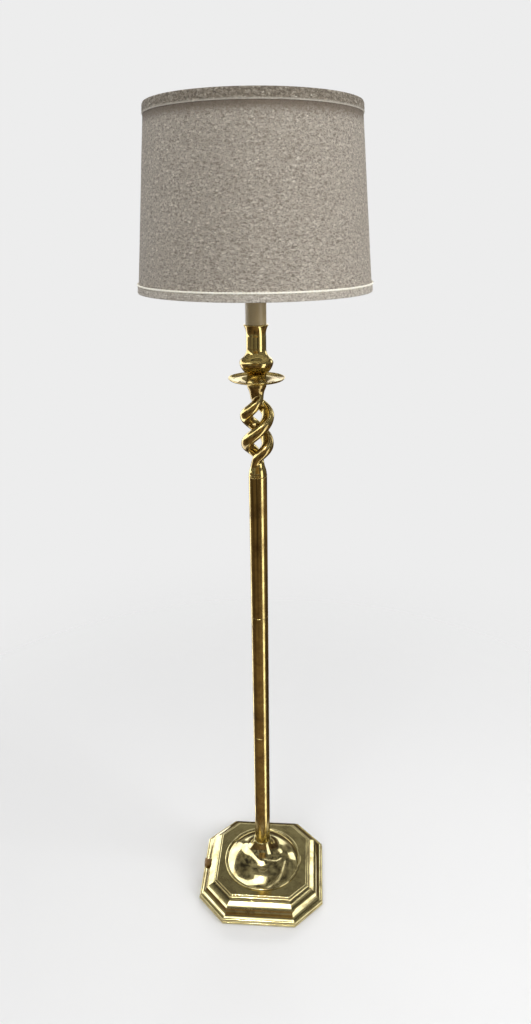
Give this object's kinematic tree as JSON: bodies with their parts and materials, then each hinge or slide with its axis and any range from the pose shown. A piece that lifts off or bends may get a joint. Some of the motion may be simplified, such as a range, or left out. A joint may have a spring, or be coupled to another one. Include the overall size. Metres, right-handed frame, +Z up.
{
  "type": "candlestick floor lamp",
  "caption": "Candlestick floor lamp: moulded eight-sided brass base, straight jointed column, open barley twist, drip pan, candle sleeve and tapered linen shade.",
  "frame": {"origin": "on the floor, under the middle of the column", "axes": "+Z up the column; -Y faces the viewer of the picture; +X to the viewer's right"},
  "size_m": [0.3434, 0.3434, 1.4216],
  "materials": {
    "felt": "pressed felt",
    "cover_steel": "satin dark paint",
    "fixings": "zinc plated",
    "base_brass": "polished, lacquered",
    "weight_iron": "as cast, painted",
    "dome_brass": "spun and polished",
    "bushing_plastic": "moulded",
    "pipe_steel": "threaded, zinc plated",
    "column_brass": "drawn and polished",
    "ring_plastic": "moulded",
    "twist_brass": "cast and polished",
    "cup_brass": "turned and polished",
    "candle_ivory": "ivory, satin",
    "socket_brass": "pressed, bright",
    "harp_brass": "plated wire",
    "liner_card": "fibre tube",
    "core_plastic": "moulded phenolic",
    "contact_brass": "plain brass",
    "knob_plastic": "moulded",
    "bulb_metal": "rolled thread",
    "bulb_glass": "white coated",
    "shade_linen": "slub linen",
    "trim_linen": "slub linen, folded",
    "piping_cord": "twisted cord",
    "shade_wire": "white coated wire",
    "finial_brass": "turned and polished"
  },
  "bodies": {
    "stand": {"felt_pad": "felt", "bottom_cover": "cover_steel", "cover_screws": "fixings", "base_shell": "base_brass", "base_weight": "weight_iron", "base_dome": "dome_brass", "cord_bushing": "bushing_plastic", "bushing_ring": "bushing_plastic", "pipe_washer": "fixings", "pipe_nut": "fixings", "lower_pipe": "pipe_steel", "upper_pipe": "pipe_steel", "column_lower": "column_brass", "column_middle": "column_brass", "column_upper": "column_brass", "centring_rings": "ring_plastic", "barley_twist": "twist_brass", "drip_pan": "cup_brass", "candle_cup": "cup_brass", "candle_sleeve": "candle_ivory", "candle_cap": "socket_brass", "harp_saddle": "harp_brass", "harp": "harp_brass", "harp_stud": "harp_brass", "socket_cap": "socket_brass", "socket_shell": "socket_brass", "socket_liner": "liner_card", "socket_core": "core_plastic", "screw_shell": "contact_brass", "centre_contact": "contact_brass"},
    "switch_knob": {"switch_knob": "knob_plastic"},
    "bulb": {"bulb_cap": "bulb_metal", "bulb_glass": "bulb_glass"},
    "shade": {"shade_cloth": "shade_linen", "trim_high": "trim_linen", "trim_low": "trim_linen", "shade_piping": "piping_cord", "ring_low": "shade_wire", "shade_spider": "shade_wire"},
    "finial": {"finial": "finial_brass"},
    "latch_left": {"harp_latch_left": "harp_brass"},
    "latch_right": {"harp_latch_right": "harp_brass"}
  },
  "joints": [
    {"name": "shade_turn", "type": "hinge", "parent": "stand", "child": "shade", "pos_m": [0, 0, 1.393], "axis": [0, 0, 1], "continuous": true},
    {"name": "finial_turn", "type": "hinge", "parent": "stand", "child": "finial", "pos_m": [0, 0, 1.3946], "axis": [0, 0, 1], "range_deg": [0, 1800]},
    {"name": "bulb_turn", "type": "hinge", "parent": "stand", "child": "bulb", "pos_m": [0, 0, 1.255], "axis": [0, 0, 1], "range_deg": [0, 1080]},
    {"name": "switch_turn", "type": "hinge", "parent": "stand", "child": "switch_knob", "pos_m": [0, -0.031, 1.2426], "axis": [0, -1, 0], "continuous": true},
    {"name": "latch_left_slide", "type": "slide", "parent": "stand", "child": "latch_left", "axis": [0, 0, 1], "range_m": [0, 0.013]},
    {"name": "latch_right_slide", "type": "slide", "parent": "stand", "child": "latch_right", "axis": [0, 0, 1], "range_m": [0, 0.013]}
  ]
}
